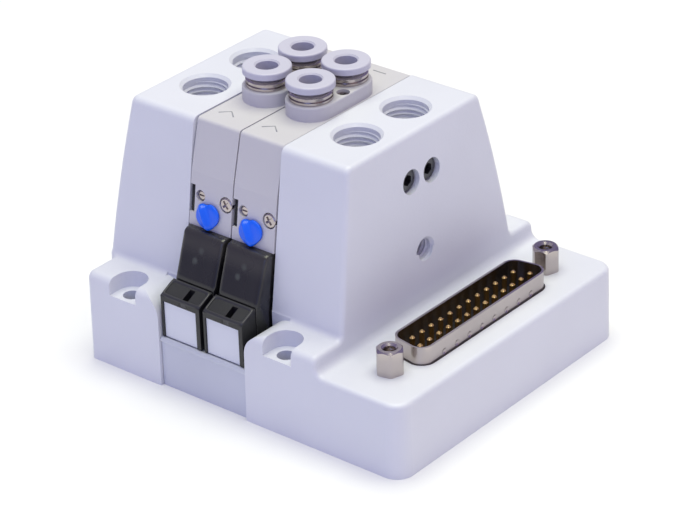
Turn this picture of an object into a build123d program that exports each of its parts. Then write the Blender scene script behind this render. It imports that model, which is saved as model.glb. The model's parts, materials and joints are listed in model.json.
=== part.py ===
"""Pneumatic valve island: two valve slices clamped between two end plates, on a base channel.

Frame: +X runs along the row from the plain end plate to the electrical foot, -Y is the
front with the pilot valves, +Z is up. The origin is the centre of the footprint, on the
surface that the island stands on. Lengths are millimetres.
"""
from build123d import *
import math
import os

# ---------------------------------------------------------------- the row
slice_count = 2
slice_width = 10.05
gasket_thickness = 0.3
gasket_inset = 4.0
left_plate_width = 20.0
tower_width = 16.6
foot_length = 19.3
body_depth = 66.5

# ---------------------------------------------------------------- end plates
tower_height = 50.5
ear_height = 18.5
foot_height = 15.0
ear_depth_front = 8.35
ear_depth_rear = 7.35
tower_front_top = -20.3
tower_rear_top = 17.9
tower_rear_bulge = 0.65
tower_side_lean = 1.5
left_side_lean = 4.45
left_side_bulge = 1.1
casting_draft = 0.3
corner_round = 1.6
edge_round = 1.3
root_round = 1.2
ear_shoulder_round = 4.5
left_ear_relief = 2.0
foot_corner_round = 3.5
foot_edge_round = 1.0
foot_root_round = 1.7

# fixing slots in the ears
slot_width = 6.6
slot_floor = 15.2
fixing_hole_d = 3.4
fixing_from_joint = 7.8
fixing_from_front = 2.85

# supply and exhaust ports, G1/8
port_minor_d = 8.57
port_major_d = 9.73
port_thread_depth = 7.6
port_front_y = -8.45
port_rear_y = 5.65
port_from_joint = 7.6
gallery_d = 4.6
gallery_z = 26.0
gallery_from_port_front = 0.0
gallery_from_port_rear = 1.6

# tie screws M2.5 through the row
tie_y = 3.0
tie_z = 41.1
tie_d = 2.5
tie_head_d = 4.5
tie_head_length = 2.5
tie_socket_af = 2.0
tie_head_recess = 3.4
tie_thread_reach = 8.0
side_hole_d = 4.2
side_hole_z = 26.1
side_hole_depth = 8.0

# ---------------------------------------------------------------- base channel
channel_height = 10.3
channel_recess = 0.75
channel_wall = 2.0
channel_floor = 2.0
channel_bead_r = 0.55
channel_gap = 0.15
board_lift = 1.4
bus_board_from_front = 8.25
bus_board_width = 10.0
window_margin = 1.0

# ---------------------------------------------------------------- slices
seam_z = 40.5
slice_below_tower = 0.15
slice_front_top = -19.4
slice_front_seam = -21.9
slice_front_bottom = -23.4
slice_rear_inset = 0.5
body_front_bottom_z = 30.2
body_bottom_z = 12.4
pilot_back_y = -14.0
block_edge_round = 0.8
block_spigot_depth = 1.6
block_spigot_half = 15.0

# fittings for 4 mm tube
fitting_front_y = -5.6
fitting_rear_y = 4.6
boss_radius = 4.75
boss_height = 2.85
cartridge_d = 8.2
cartridge_rise = 1.7
cartridge_depth = 7.0
collar_d = 9.2
collar_thickness = 1.3
collar_gap = 0.8
collar_sleeve_d = 5.64
collar_sleeve_length = 5.2
tube_d = 4.0
tube_clearance = 0.1
tube_stop_depth = 9.5
fitting_bore_d = 2.0
fitting_bore_shift = 1.05
collar_travel = 0.6
sliding_clearance = 0.08
seal_ring_height = 1.0
grip_ring_height = 0.5
boss_screw_offset = 3.35
boss_screw_head_d = 2.2

# spool and its bore
spool_bore_d = 6.0
spool_z = 34.0
spool_front_y = -12.6
spool_length = 27.0
spool_end_gap = 0.4
seal_width = 1.2
seal_groove = 0.8
end_plug_length = 3.0
end_plug_d = 7.4

# front screws and manual override
small_screw_x = 2.45
small_screw_z = 36.2
small_screw_d = 1.9
pan_screw_x = 8.55
pan_screw_z = 36.1
pan_screw_d = 2.8
override_z = 33.7
override_radius = 2.5
override_height = 1.9
override_stem_d = 3.0
override_stem_length = 4.0

# pilot valve: cover, coil, plunger
cover_top_z = 31.2
cover_front_top = -25.2
cover_front_bottom = -28.4
cover_step_z = 21.0
cover_bottom_z = 12.0
cover_wall = 0.9
cover_round = 1.0
coil_d = 7.2
coil_length = 13.0
coil_flange = 0.8
coil_y = -18.6
plunger_d = 3.1
plunger_length = 7.0
plunger_lift = 1.0
plunger_spring_length = 2.2
plunger_spring_wire = 0.3
plunger_spring_turns = 4

# pilot connector housing and its label plate
housing_front_y = -32.3
housing_back_top_z = 20.9
housing_front_top_z = 19.1
housing_width = 9.45
label_width = 8.0
label_height = 7.5
label_thickness = 0.6
label_recess = 0.3

# ---------------------------------------------------------------- 25-way connector
pin_pitch = 2.77
pin_row_gap = 2.84
pin_d = 1.0
pin_tip_z = 17.9
shell_long = 38.96
shell_short = 8.36
shell_slope = 10.0
shell_corner_r = 2.6
shell_wall = 0.45
dimple_count = 8
dimple_pitch = 3.75
dimple_r = 0.9
dimple_depth = 0.25
dimple_lift = 0.75
shell_top_z = 18.5
shell_flange_length = 53.0
shell_flange_width = 12.4
connector_x_from_foot_edge = 9.72
jack_spacing = 47.04
jack_af = 4.75
jack_height = 5.0
jack_thread_d = 2.3
jack_stud_d = 2.8
foot_wall = 2.4
foot_roof = 2.6
cover_plate_thickness = 1.5
cover_boss_d = 4.2
cover_boss_height = 6.5
cover_screw_d = 1.6
cover_screw_reach = 6.5
cover_screw_from_wall = 2.2
board_thickness = 1.6

# ---------------------------------------------------------------- derived places
half_depth = body_depth / 2
row_length = slice_count * slice_width + (slice_count + 1) * gasket_thickness
overall_length = left_plate_width + row_length + tower_width + foot_length
left_end = -overall_length / 2
left_joint = left_end + left_plate_width
right_joint = left_joint + row_length
tower_side = right_joint + tower_width
foot_end = tower_side + foot_length
tower_front_base = -half_depth + ear_depth_front
tower_rear_base = half_depth - ear_depth_rear
connector_x = foot_end - connector_x_from_foot_edge
roof_under = foot_height - foot_roof
slice_top = tower_height - slice_below_tower
boss_top = slice_top + boss_height
collar_top = boss_top + cartridge_rise + collar_gap + collar_thickness
bus_board_front = -half_depth + bus_board_from_front
gallery_front_y = port_front_y + gallery_from_port_front
gallery_rear_y = port_rear_y + gallery_from_port_rear
front_lean = (slice_front_seam - slice_front_bottom) / (seam_z - body_front_bottom_z)
front_angle = math.degrees(math.atan(front_lean))


def slice_left(index):
    """Left face of a slice, counted from 0 beside the plain end plate."""
    return left_joint + gasket_thickness + index * (slice_width + gasket_thickness)


def body_front_at(z):
    """Front face of a valve body at a height."""
    return slice_front_seam - (seam_z - z) * front_lean


# ---------------------------------------------------------------- shared shapes
def yz_prism(outline, x0, x1):
    """Prism along X from a closed outline given as (y, z)."""
    return extrude(Plane.YZ.offset(x0) * outline, amount=x1 - x0)


def xz_prism(outline, y0, y1):
    """Prism along Y from a closed outline given as (x, z)."""
    return extrude(Plane.XZ.offset(-y0) * outline, amount=-(y1 - y0))


def block(x0, x1, y0, y1, z0, z1):
    """Plain rectangular block between three pairs of faces."""
    centre = Pos((x0 + x1) / 2, (y0 + y1) / 2, (z0 + z1) / 2)
    return centre * Box(x1 - x0, y1 - y0, z1 - z0)


def rod_z(x, y, z0, z1, diameter):
    """Round bar standing on z0."""
    return Pos(x, y, (z0 + z1) / 2) * Cylinder(diameter / 2, z1 - z0)


def rod_x(x0, x1, y, z, diameter):
    """Round bar along X."""
    return Pos((x0 + x1) / 2, y, z) * Rot(0, 90, 0) * Cylinder(diameter / 2, x1 - x0)


def rod_y(x, y0, y1, z, diameter):
    """Round bar along Y."""
    return Pos(x, (y0 + y1) / 2, z) * Rot(90, 0, 0) * Cylinder(diameter / 2, y1 - y0)


def rounded(outline, radius, keep):
    """Outline with the corners that keep accepts rounded."""
    corners = [v for v in outline.vertices() if keep(v)]
    return fillet(corners, radius)


def save(node, shape):
    """Write one node, as one solid or as a group of separate solids."""
    solids = shape.solids()
    result = solids[0] if len(solids) == 1 else Compound(children=list(solids))
    result.label = node
    export_step(result, os.path.join("parts", node + ".step"))


# ---------------------------------------------------------------- end plates
def plate_side_outline():
    """Side view of an end plate: tower with a front and a rear ear."""
    mid_z = (ear_height + tower_height) / 2
    mid_y = (tower_rear_base + tower_rear_top) / 2 + tower_rear_bulge
    front = Polyline(
        (tower_rear_base, ear_height),
        (half_depth - casting_draft, ear_height),
        (half_depth, 0),
        (-half_depth, 0),
        (-half_depth + casting_draft, ear_height),
        (tower_front_base, ear_height),
        (tower_front_top, tower_height),
        (tower_rear_top, tower_height),
    )
    rear = ThreePointArc(
        (tower_rear_top, tower_height), (mid_y, mid_z), (tower_rear_base, ear_height)
    )
    face = make_face(front.edges() + rear.edges())
    roots = (tower_front_base, tower_rear_base)
    face = rounded(face, root_round, lambda v: any(abs(v.X - y) < 0.01 for y in roots))
    return rounded(face, corner_round, is_outer_corner)


def is_outer_corner(v):
    """True at the ear edges and at the top edges of the tower, false at the roots."""
    at_ear_edge = abs(abs(v.X) - (half_depth - casting_draft)) < 0.01
    return at_ear_edge or abs(v.Y - tower_height) < 0.01


def span(edge):
    """Size of an edge's box along X, Y and Z."""
    return edge.bounding_box().size


def right_side_x(z):
    """Outer side face of the right tower at a height."""
    return tower_side - tower_side_lean * (z - foot_height) / (tower_height - foot_height)


def ear_shoulders(joint, away):
    """What the large rounding takes off the ears, where they meet the row."""
    r = ear_shoulder_round
    reach = joint + away * r
    cuts = Part()
    for y0, y1 in ((-half_depth - 1, tower_front_base), (tower_rear_base, half_depth + 1)):
        lo, hi = sorted((joint - away, reach))
        corner = block(lo, hi, y0, y1, ear_height - r, ear_height + 1)
        cuts += corner - rod_y(reach, y0 - 1, y1 + 1, ear_height - r, 2 * r)
    return cuts


def fixing_cuts(x):
    """Open-fronted counterbores and screw holes, one pair front and rear."""
    cuts = Part()
    for sign in (-1, 1):
        y = sign * (half_depth - fixing_from_front)
        cuts += rod_z(x, y, slot_floor, ear_height + 1, slot_width)
        lo, hi = sorted((y, sign * (half_depth + 1)))
        cuts += block(x - slot_width / 2, x + slot_width / 2, lo, hi, slot_floor, ear_height + 1)
        cuts += rod_z(x, y, -1, slot_floor + 1, fixing_hole_d)
    return cuts


def port_cuts(x, joint):
    """Two threaded ports from the top, each with its gallery to the row."""
    cuts = Part()
    lead = (port_major_d - port_minor_d) / 2
    bottom = tower_height - port_thread_depth
    for y, gallery_y in ((port_front_y, gallery_front_y), (port_rear_y, gallery_rear_y)):
        cuts += rod_z(x, y, bottom, tower_height + 1, port_minor_d)
        cuts += Pos(x, y, tower_height - lead / 2) * Cone(
            port_minor_d / 2, port_major_d / 2, lead
        )
        cuts += rod_z(x, gallery_y, gallery_z, bottom + 1, gallery_d)
        lo, hi = sorted((x, joint))
        cuts += rod_x(lo, hi, gallery_y, gallery_z, gallery_d)
    return cuts


def left_side_cutter():
    """Everything outside the bulging left face of the row."""
    out = left_end - 3
    top = (left_end + left_side_lean, tower_height)
    mid = (left_end + left_side_lean / 2 - left_side_bulge, tower_height / 2)
    bulge = ThreePointArc((left_end, 0), mid, top)
    rest = Polyline(
        top, (top[0], tower_height + 1), (out, tower_height + 1), (out, -1), (left_end, -1),
        (left_end, 0),
    )
    face = make_face(bulge.edges() + rest.edges())
    return xz_prism(face, -half_depth - 2, half_depth + 2)


def ear_relief(root_y, sign):
    """Cutter that narrows an ear on its outer side, with a rounded inner corner."""
    out = left_end - 3
    side = left_end + left_ear_relief
    near, far = sorted((root_y, sign * (half_depth + 2)))
    plan = Pos((out + side) / 2, (near + far) / 2) * Rectangle(side - out, far - near)
    plan = rounded(plan, root_round, lambda v: v.X > side - 0.01 and abs(v.Y - root_y) < 0.01)
    return Pos(0, 0, -1) * extrude(plan, ear_height + root_round + 2, dir=(0, 0, 1))


def left_outline_edges(plate):
    """Edges of the outer side of the left plate: tower outline and body uprights."""
    side = left_end + left_ear_relief
    near = [
        e for e in plate.edges()
        if e.center().X < left_joint - left_plate_width / 2 and span(e).X < left_ear_relief * 2.5
    ]
    tower = [e for e in near if e.center().Z > ear_height + 0.1 and span(e).Z + span(e).Y > 0]
    uprights = [e for e in near if span(e).Z > ear_height - 3 and e.center().X < side - 1]
    return tower + [e for e in uprights if e not in tower]


def make_left_end_plate():
    """Plain end plate, threaded for the tie screws."""
    plate = yz_prism(plate_side_outline(), left_end - 1, left_joint)
    plate -= left_side_cutter()
    plate -= ear_relief(tower_front_base, -1)
    plate -= ear_relief(tower_rear_base, 1)
    plate = fillet(left_outline_edges(plate), edge_round)
    plate -= ear_shoulders(left_joint, -1)
    plate -= fixing_cuts(left_joint - fixing_from_joint - 1.0)
    plate -= port_cuts(left_joint - port_from_joint, left_joint)
    for y in (-tie_y, tie_y):
        plate -= rod_x(left_joint - tie_thread_reach - 1, left_joint + 1, y, tie_z, tie_d)
    return plate


def make_foot():
    """Electrical foot as a drafted block with rounded outer corners."""
    x0 = tower_side - foot_wall
    draft = math.degrees(math.atan(casting_draft / ear_height))
    plan = Pos((x0 + foot_end) / 2, 0) * Rectangle(foot_end - x0, body_depth)
    plan = rounded(plan, foot_corner_round, lambda v: v.X > x0 + 1)
    return extrude(plan, foot_height, dir=(0, 0, 1), taper=draft)


def right_side_cutter():
    """Everything outside the leaning right face, above the foot."""
    out = tower_side + 5
    face = make_face(Polyline(
        (right_side_x(foot_height - 1), foot_height - 1),
        (right_side_x(tower_height + 1), tower_height + 1),
        (out, tower_height + 1), (out, foot_height - 1), close=True,
    ))
    return xz_prism(face, -half_depth - 2, half_depth + 2)


def foot_cavity():
    """Space under the foot's roof for the connector and its board."""
    x0 = tower_side + foot_wall - 1.0
    x1 = foot_end - foot_wall
    y1 = half_depth - foot_wall - 0.6
    cavity = block(x0, x1, -y1, y1, -1, roof_under)
    corners = [e for e in cavity.edges() if e.bounding_box().size.Z > 5]
    return fillet(corners, 2.0)


def cover_seat(shrink):
    """Outline of the bottom plate, less a gap all round."""
    x0 = tower_side + foot_wall - 2.0 + shrink
    x1 = foot_end - foot_wall + 1.0 - shrink
    y1 = half_depth - foot_wall + 0.4 - shrink
    plate = block(x0, x1, -y1, y1, -1, cover_plate_thickness)
    corners = [e for e in plate.edges() if e.bounding_box().size.Z > 1 and e.bounding_box().size.X < 0.1]
    return fillet(corners, 2.0 - shrink)


def cover_screw_places():
    """Centres of the four screws that hold the bottom plate."""
    xs = (tower_side + foot_wall + 1.0, foot_end - foot_wall - 1.6)
    ys = half_depth - foot_wall - cover_screw_from_wall
    return [(x, y) for x in xs for y in (-ys, ys)]


def d_outline(long, short, radius):
    """D-shaped outline with its long side towards +X."""
    slant = (short / 2) * math.tan(math.radians(shell_slope))
    face = make_face(Polyline(
        (short / 2, -long / 2), (short / 2, long / 2),
        (-short / 2, long / 2 - 2 * slant), (-short / 2, -long / 2 + 2 * slant),
        close=True,
    ))
    return fillet(face.vertices(), radius)


def d_prism(growth, z0, z1):
    """Upright D-shaped block about the connector's centre."""
    face = d_outline(shell_long + 2 * growth, shell_short + 2 * growth, shell_corner_r + growth)
    return Pos(connector_x, 0, z0) * extrude(face, z1 - z0)


def make_right_end_plate():
    """End plate with the electrical foot, the tie screw heads and a side hole."""
    plate = yz_prism(plate_side_outline(), right_joint, tower_side + 1)
    plate -= right_side_cutter()
    plate += make_foot()
    root = [
        e for e in plate.edges()
        if abs(e.center().X - tower_side) < 0.1 and abs(e.center().Z - foot_height) < 0.1
        and span(e).Y > foot_wall
    ]
    plate = fillet(root, foot_root_round)
    outer = [
        e for e in plate.edges()
        if e.center().X > tower_side - tower_side_lean - 0.3 and e.center().Z > foot_height - 0.1
        and span(e).X < tower_side_lean + 1
    ]
    plate = fillet(outer, foot_edge_round)
    plate -= ear_shoulders(right_joint, 1)
    plate -= fixing_cuts(right_joint + fixing_from_joint)
    plate -= port_cuts(right_joint + port_from_joint, right_joint)
    plate -= foot_cavity()
    plate -= cover_seat(0)
    for x, y in cover_screw_places():
        boss_z = cover_plate_thickness + cover_boss_height
        plate += rod_z(x, y, cover_plate_thickness, boss_z, cover_boss_d)
        plate -= rod_z(x, y, 0, cover_screw_reach + 0.5, cover_screw_d)
    plate -= d_prism(0.35, roof_under - 1, foot_height + 1)
    for sign in (-1, 1):
        y = sign * jack_spacing / 2
        plate -= rod_z(connector_x, y, roof_under - 1, foot_height + 1, jack_stud_d + 0.2)
    side_x = right_side_x(tie_z)
    for y in (-tie_y, tie_y):
        plate -= rod_x(right_joint - 1, side_x + 1, y, tie_z, tie_d + 0.3)
        plate -= rod_x(side_x - tie_head_recess, side_x + 2, y, tie_z, tie_head_d + 0.3)
    plate -= rod_x(tower_side - side_hole_depth, tower_side + 1, 0, side_hole_z, side_hole_d)
    side_at_hole = right_side_x(side_hole_z)
    plate -= Pos(side_at_hole - 0.3, 0, side_hole_z) * Rot(0, 90, 0) * Cone(
        side_hole_d / 2, side_hole_d / 2 + 0.6, 0.6
    )
    plate -= wiring_window()
    return plate


def wiring_window():
    """Passage through the right end plate from the channel to the foot."""
    y0 = bus_board_front - window_margin
    y1 = bus_board_front + bus_board_width + window_margin
    z0 = channel_floor + board_lift
    return block(
        right_joint - 1, tower_side + foot_wall, y0, y1, z0, z0 + board_thickness + 3 * window_margin,
    )


# ---------------------------------------------------------------- base channel
def make_base_channel():
    """Extruded channel between the end plates, with a bead along each lip."""
    y_out = half_depth - channel_recess
    half = yz_channel_half(y_out)
    channel = half + mirror(half, about=Plane.XZ)
    return channel + board_ribs(left_joint + channel_gap, right_joint - channel_gap)


def board_ribs(x0, x1):
    """Two ribs on the channel's floor that carry the circuit board."""
    ribs = Part()
    for y in (bus_board_front + 1.0, bus_board_front + bus_board_width - 2.0):
        ribs += block(x0, x1, y, y + 1.0, channel_floor - 0.5, channel_floor + board_lift)
    return ribs


def yz_channel_half(y_out):
    """Front half of the channel's section, run along the row."""
    x0 = left_joint + channel_gap
    x1 = right_joint - channel_gap
    wall = block(x0, x1, -y_out, -y_out + channel_wall, 0, channel_height - channel_bead_r)
    floor = block(x0, x1, -y_out, 0, 0, channel_floor)
    lip = block(
        x0, x1, -y_out, -y_out + channel_wall,
        channel_height - 2 * channel_bead_r, channel_height - 0.2,
    )
    bead = rod_x(x0, x1, -y_out + 0.2, channel_height - channel_bead_r, 2 * channel_bead_r)
    return wall + floor + lip + bead


# ---------------------------------------------------------------- slices
def slice_rear_arc(z0, z1):
    """Rear face of the slices, set in from the rear face of the towers."""
    def y_at(z):
        share = (z - ear_height) / (tower_height - ear_height)
        chord = tower_rear_base + (tower_rear_top - tower_rear_base) * share
        return chord + 4 * tower_rear_bulge * share * (1 - share) - slice_rear_inset
    return ThreePointArc((y_at(z1), z1), (y_at((z0 + z1) / 2), (z0 + z1) / 2), (y_at(z0), z0)), y_at


def fitting_places(index):
    """Axes of the two fittings of a slice."""
    x = slice_left(index) + slice_width / 2
    return [(x, fitting_front_y), (x, fitting_rear_y)]


def fitting_bores(index, z0, z1):
    """Bores below the tube stops, set outwards so that they pass the tie screws."""
    x = slice_left(index) + slice_width / 2
    places = (fitting_front_y - fitting_bore_shift, fitting_rear_y + fitting_bore_shift)
    return [rod_z(x, y, z0, z1, fitting_bore_d) for y in places]


def make_port_block(index):
    """Port block: raised oval boss with two fitting bores and a hidden step below."""
    x0 = slice_left(index)
    x1 = x0 + slice_width
    xc = (x0 + x1) / 2
    arc, y_at = slice_rear_arc(seam_z, slice_top)
    outline = make_face(arc.edges() + Polyline(
        (y_at(seam_z), seam_z), (slice_front_seam, seam_z),
        (slice_front_top, slice_top), (y_at(slice_top), slice_top),
    ).edges())
    outline = rounded(outline, block_edge_round, lambda v: abs(v.Y - slice_top) < 0.01)
    shape = yz_prism(outline, x0, x1)
    boss_mid = (fitting_front_y + fitting_rear_y) / 2
    boss = Pos(xc, boss_mid, slice_top - 1) * extrude(
        Rot(0, 0, 90) * SlotCenterToCenter(fitting_rear_y - fitting_front_y, 2 * boss_radius),
        boss_height + 1,
    )
    rim = [e for e in boss.edges() if e.center().Z > boss_top - 0.01]
    shape += fillet(rim, 0.35)
    shape += block(
        x0, x1, -block_spigot_half, block_spigot_half, seam_z - block_spigot_depth, seam_z + 1,
    )
    for x, y in fitting_places(index):
        shape -= rod_z(x, y, boss_top - cartridge_depth, boss_top + 1, cartridge_d)
        shape -= rod_z(x, y, boss_top - tube_stop_depth, boss_top, tube_d + 2 * tube_clearance)
    for bore in fitting_bores(index, seam_z - block_spigot_depth - 1, boss_top - tube_stop_depth + 0.5):
        shape -= bore
    screw_x = xc + boss_screw_offset
    shape -= rod_z(screw_x, boss_mid, boss_top - 1.5, boss_top + 1, boss_screw_head_d + 0.3)
    shape -= rod_z(screw_x, boss_mid, 0, boss_top, 1.5)
    for y in (-tie_y, tie_y):
        shape -= rod_x(x0 - 1, x1 + 1, y, tie_z, tie_d + 0.3)
    return shape


def make_valve_body(index):
    """Valve body: spool bore, galleries, screw seats and the override bore."""
    x0 = slice_left(index)
    x1 = x0 + slice_width
    xc = (x0 + x1) / 2
    arc, y_at = slice_rear_arc(ear_height, seam_z)
    toe_y = half_depth - channel_recess - channel_wall - 0.6
    outline = make_face(arc.edges() + Polyline(
        (y_at(ear_height), ear_height),
        (toe_y, ear_height - 2.2), (toe_y, body_bottom_z), (pilot_back_y, body_bottom_z),
        (pilot_back_y, body_front_bottom_z), (slice_front_bottom, body_front_bottom_z),
        (slice_front_seam, seam_z), (y_at(seam_z), seam_z),
    ).edges())
    shape = yz_prism(outline, x0, x1)
    shape -= block(
        x0 - 1, x1 + 1, -block_spigot_half, block_spigot_half,
        seam_z - block_spigot_depth, seam_z + 1,
    )
    rear = y_at(spool_z)
    shape -= rod_y(xc, spool_front_y, rear + 1, spool_z, spool_bore_d)
    shape -= rod_y(xc, rear - end_plug_length, rear + 2, spool_z, end_plug_d)
    for y in (gallery_front_y, gallery_rear_y):
        shape -= rod_x(x0 - 1, x1 + 1, y, gallery_z, gallery_d)
        shape -= rod_z(xc, y, gallery_z, spool_z, 3.0)
    for bore in fitting_bores(index, spool_z, seam_z):
        shape -= bore
    screw_x = xc + boss_screw_offset
    shape -= rod_z(screw_x, (fitting_front_y + fitting_rear_y) / 2, seam_z - 4, seam_z, 1.2)
    shape -= on_front(index, small_screw_x, small_screw_z, -1.3, 1, small_screw_d + 0.3)
    shape -= on_front(index, small_screw_x, small_screw_z, -4.5, 0, 1.0)
    shape -= on_front(index, pan_screw_x, pan_screw_z, -1.0, 1, pan_screw_d + 0.3)
    shape -= on_front(index, pan_screw_x, pan_screw_z, -5.0, 0, 1.5)
    shape -= on_front(
        index, slice_width / 2, override_z, -override_stem_length - 0.3, 1, override_stem_d + 0.16,
    )
    notch_y = body_front_at(small_screw_z)
    shape -= block(
        x0 - 1, x0 + 1.1, notch_y - 2, notch_y + 1.6, small_screw_z - 3.6, small_screw_z + 1.8,
    )
    return shape


def front_plane(index, x, z):
    """Plane on the front face of a valve body, its normal pointing out."""
    normal = (0, -math.cos(math.radians(front_angle)), math.sin(math.radians(front_angle)))
    return Plane(
        origin=(slice_left(index) + x, body_front_at(z), z), x_dir=(1, 0, 0), z_dir=normal,
    )


def on_front(index, x, z, low, high, diameter):
    """Round bar square to the front face, from one level to another along its normal."""
    place = front_plane(index, x, z)
    return place * Pos(0, 0, (low + high) / 2) * Cylinder(diameter / 2, high - low)


def make_spool(index):
    """Spool with five lands and four waists."""
    xc = slice_left(index) + slice_width / 2
    radius = spool_bore_d / 2 - sliding_clearance
    y0 = spool_front_y + spool_end_gap
    shape = rod_y(xc, y0, y0 + spool_length, spool_z, 2 * radius)
    waists = 4
    step = spool_length / (waists + 1)
    for number in range(waists):
        y = y0 + step * (number + 1)
        ring = rod_y(xc, y - 1.3, y + 1.3, spool_z, 2 * radius + 1)
        shape -= ring - rod_y(xc, y - 2, y + 2, spool_z, 2 * radius - 2.4)
    for y in seal_places():
        ring = rod_y(xc, y - seal_width / 2, y + seal_width / 2, spool_z, 2 * radius + 1)
        shape -= ring - rod_y(xc, y - 1, y + 1, spool_z, 2 * radius - 2 * seal_groove)
    return shape


def seal_places():
    """Middle of each sealing land."""
    y0 = spool_front_y + spool_end_gap
    step = spool_length / 5
    return [y0 + step * (number + 0.5) for number in range(5)]


def make_spool_seals(index):
    """Rubber rings in the lands of the spool."""
    xc = slice_left(index) + slice_width / 2
    radius = spool_bore_d / 2 - sliding_clearance
    rings = []
    for y in seal_places():
        ring = rod_y(xc, y - seal_width / 2, y + seal_width / 2, spool_z, 2 * radius)
        rings.append(ring - rod_y(xc, y - 1, y + 1, spool_z, 2 * radius - 2 * seal_groove))
    return Compound(children=[r.solid() for r in rings])


def make_end_plug(index):
    """Plug that closes the spool bore at the rear, with a screwdriver slot."""
    xc = slice_left(index) + slice_width / 2
    _, y_at = slice_rear_arc(ear_height, seam_z)
    rear = y_at(spool_z)
    plug = rod_y(xc, rear - end_plug_length, rear - 0.6, spool_z, end_plug_d)
    return plug - block(xc - 2.4, xc + 2.4, rear - 1.4, rear + 1, spool_z - 0.4, spool_z + 0.4)


def make_pilot_cover(index):
    """Smoked cover over the coil: leaning front, rounded brow, cut round the override."""
    x0 = slice_left(index) + 0.1
    x1 = slice_left(index) + slice_width - 0.1
    outer = make_face(Polyline(
        (slice_front_bottom, cover_top_z), (cover_front_top, cover_top_z),
        (cover_front_bottom, cover_step_z), (cover_front_bottom, cover_bottom_z),
        (pilot_back_y, cover_bottom_z), (pilot_back_y, body_front_bottom_z),
        (slice_front_bottom, body_front_bottom_z), close=True,
    ))
    outer = rounded(
        outer, cover_round, lambda v: abs(v.X - cover_front_top) < 0.01 and v.Y > cover_top_z - 0.1,
    )
    t = cover_wall
    inner = make_face(Polyline(
        (cover_front_top + t, body_front_bottom_z - t), (cover_front_bottom + t, cover_step_z),
        (cover_front_bottom + t, cover_bottom_z - 1), (pilot_back_y - t, cover_bottom_z - 1),
        (pilot_back_y - t, body_front_bottom_z - t), close=True,
    ))
    shape = yz_prism(outer, x0, x1)
    upright = [
        e for e in shape.edges()
        if abs(e.center().Y - (cover_front_top + cover_front_bottom) / 2) < 0.6
        and e.bounding_box().size.Z > 5
    ]
    shape = fillet(upright, 0.5)
    shape -= yz_prism(inner, x0 + t, x1 - t)
    shape -= on_front(index, slice_width / 2, override_z, -3, 5, 2 * override_radius + 2.0)
    return shape


def make_coil(index):
    """Coil on its bobbin, standing on the connector housing behind the cover."""
    xc = slice_left(index) + slice_width / 2
    z0 = cover_bottom_z
    z1 = z0 + coil_length
    shape = rod_z(xc, coil_y, z0, z1, coil_d - 2 * coil_flange)
    for z in (z0, z1 - coil_flange):
        shape += rod_z(xc, coil_y, z, z + coil_flange, coil_d)
    return shape - rod_z(xc, coil_y, z0 - 1, z1 + 1, plunger_d + 2 * sliding_clearance)


def make_core(index):
    """Fixed iron core above the plunger, up to the roof of the cover."""
    xc = slice_left(index) + slice_width / 2
    z0 = cover_bottom_z + plunger_lift + plunger_length + plunger_spring_length
    return rod_z(xc, coil_y, z0, body_front_bottom_z - cover_wall, plunger_d)


def make_plunger(index):
    """Iron plunger inside the coil."""
    xc = slice_left(index) + slice_width / 2
    z0 = cover_bottom_z + plunger_lift
    shape = rod_z(xc, coil_y, z0, z0 + plunger_length, plunger_d)
    tip = [e for e in shape.edges() if e.center().Z < z0 + 0.01]
    return chamfer(tip, 0.4)


def make_spring(length, diameter, wire, turns):
    """Open coil spring standing on the origin, its wire inside its length."""
    side = wire * math.sqrt(math.pi) / 2
    path = Helix(pitch=(length - wire) / turns, height=length - wire, radius=(diameter - wire) / 2)
    start = Plane(origin=path @ 0, z_dir=path % 0)
    return Pos(0, 0, wire / 2) * sweep(start * Rectangle(side, side), path=path)


def make_plunger_spring(index):
    """Spring between the plunger and the core."""
    xc = slice_left(index) + slice_width / 2
    z0 = cover_bottom_z + plunger_lift + plunger_length
    spring = make_spring(
        plunger_spring_length, plunger_d - plunger_spring_wire, plunger_spring_wire,
        plunger_spring_turns,
    )
    return Pos(xc, coil_y, z0) * spring


def make_fitting_rings(z_from_bottom, height, inner_d):
    """One ring in each cartridge, at a level above the cartridge's lower end."""
    rings = []
    z0 = boss_top - cartridge_depth + z_from_bottom
    for index in range(slice_count):
        for x, y in fitting_places(index):
            ring = rod_z(x, y, z0, z0 + height, collar_sleeve_d + 2 * sliding_clearance)
            rings.append((ring - rod_z(x, y, z0 - 1, z0 + height + 1, inner_d)).solid())
    return Compound(children=rings)


def make_housing(index):
    """Pilot connector housing: sloping ledge with a notch, and ribs beside the label."""
    x0 = slice_left(index) + 0.05
    x1 = x0 + housing_width
    back = cover_front_bottom - 0.1
    under = channel_height + 0.15
    behind = -half_depth + channel_recess + channel_wall + 0.3
    board_top = channel_floor + board_lift + board_thickness
    outline = make_face(Polyline(
        (back, housing_back_top_z), (housing_front_y, housing_front_top_z),
        (housing_front_y, under), (behind, under), (behind, board_top),
        (pilot_back_y, board_top), (pilot_back_y, cover_bottom_z),
        (back, cover_bottom_z), close=True,
    ))
    shape = yz_prism(outline, x0, x1)
    top_edge = [
        e for e in shape.edges()
        if e.bounding_box().size.X > 5 and e.center().Z > housing_front_top_z - 0.1
        and e.center().Y < housing_front_y + 0.1
    ]
    shape = fillet(top_edge, 0.3)
    notch_x = x0 + 0.52 * housing_width
    shape -= block(
        notch_x, notch_x + 1.3, housing_front_y - 1, back - 0.9, housing_front_top_z - 0.9, 30,
    )
    label_x = x0 + 0.5
    shape -= block(
        label_x, label_x + label_width, housing_front_y - 1,
        housing_front_y + label_recess + label_thickness, under - 1,
        under + label_height,
    )
    return shape


def make_label(index):
    """Bare label plate in its recess."""
    x0 = slice_left(index) + 0.05 + 0.5
    under = channel_height + 0.15
    y0 = housing_front_y + label_recess
    return block(x0 + 0.05, x0 + label_width - 0.05, y0, y0 + label_thickness, under, under + label_height - 0.05)


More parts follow.
